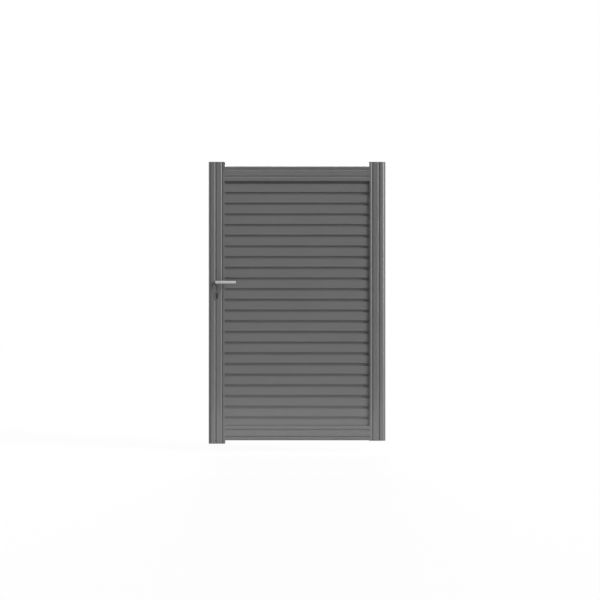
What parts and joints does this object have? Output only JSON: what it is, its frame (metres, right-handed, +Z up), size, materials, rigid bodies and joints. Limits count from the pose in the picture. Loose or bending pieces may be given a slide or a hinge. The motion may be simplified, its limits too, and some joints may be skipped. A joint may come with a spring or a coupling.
{
  "type": "slatted pedestrian gate leaf with lever lock and hinges",
  "caption": "Grey aluminium pedestrian gate leaf: grooved stiles and rails, closed horizontal slats, lever lock with cylinder, and lift-off hinges behind the hinge stile.",
  "frame": {"origin": "middle of the lower hinge's bolt holes, on the face that meets the post", "axes": "+Z up, +X along the leaf from the lock side to the hinge side, front faces -Y, post behind at +Y"},
  "size_m": [1, 0.152, 1.592],
  "materials": {
    "coated_frame": "satin",
    "coated_slat": "satin",
    "end_cap": "matte",
    "satin_lever": "satin",
    "handle_trim": "satin",
    "dark_cylinder": "satin",
    "lock_steel": "satin",
    "lock_case": "satin",
    "coated_hinge": "satin",
    "hinge_pin": "satin"
  },
  "bodies": {
    "post_hinges": {"hinge_post_plates": "coated_hinge", "hinge_pins": "hinge_pin"},
    "leaf": {"lock_stile": "coated_frame", "hinge_stile": "coated_frame", "top_rail": "coated_frame", "bottom_rail": "coated_frame", "slat_01": "coated_slat", "slat_02": "coated_slat", "slat_03": "coated_slat", "slat_04": "coated_slat", "slat_05": "coated_slat", "slat_06": "coated_slat", "slat_07": "coated_slat", "slat_08": "coated_slat", "slat_09": "coated_slat", "slat_10": "coated_slat", "slat_11": "coated_slat", "slat_12": "coated_slat", "slat_13": "coated_slat", "slat_14": "coated_slat", "slat_15": "coated_slat", "slat_16": "coated_slat", "slat_17": "coated_slat", "slat_18": "coated_slat", "slat_19": "coated_slat", "slat_20": "coated_slat", "slat_21": "coated_slat", "slat_22": "coated_slat", "slat_23": "coated_slat", "stile_top_caps": "end_cap", "stile_bottom_caps": "end_cap", "front_lock_trim": "handle_trim", "rear_lock_trim": "handle_trim", "lock_cylinder": "dark_cylinder", "lock_faceplate": "lock_steel", "latch_bolt": "lock_steel", "dead_bolt": "lock_steel", "lock_case": "lock_case", "hinge_gate_plates": "coated_hinge"},
    "lever": {"front_lever": "satin_lever", "rear_lever": "satin_lever", "lever_spindle": "lock_steel"}
  },
  "joints": [
    {"name": "gate_swing", "type": "hinge", "parent": "post_hinges", "child": "leaf", "pos_m": [0.034, -0.014, 0], "axis": [0, 0, 1], "range_deg": [0, 90]},
    {"name": "lever_turn", "type": "hinge", "parent": "leaf", "child": "lever", "pos_m": [-0.9075, -0.075, 0.681], "axis": [0, 1, 0], "range_deg": [0, 40], "stiffness_Nm_per_rad": 1, "springref_deg": -34.38}
  ]
}
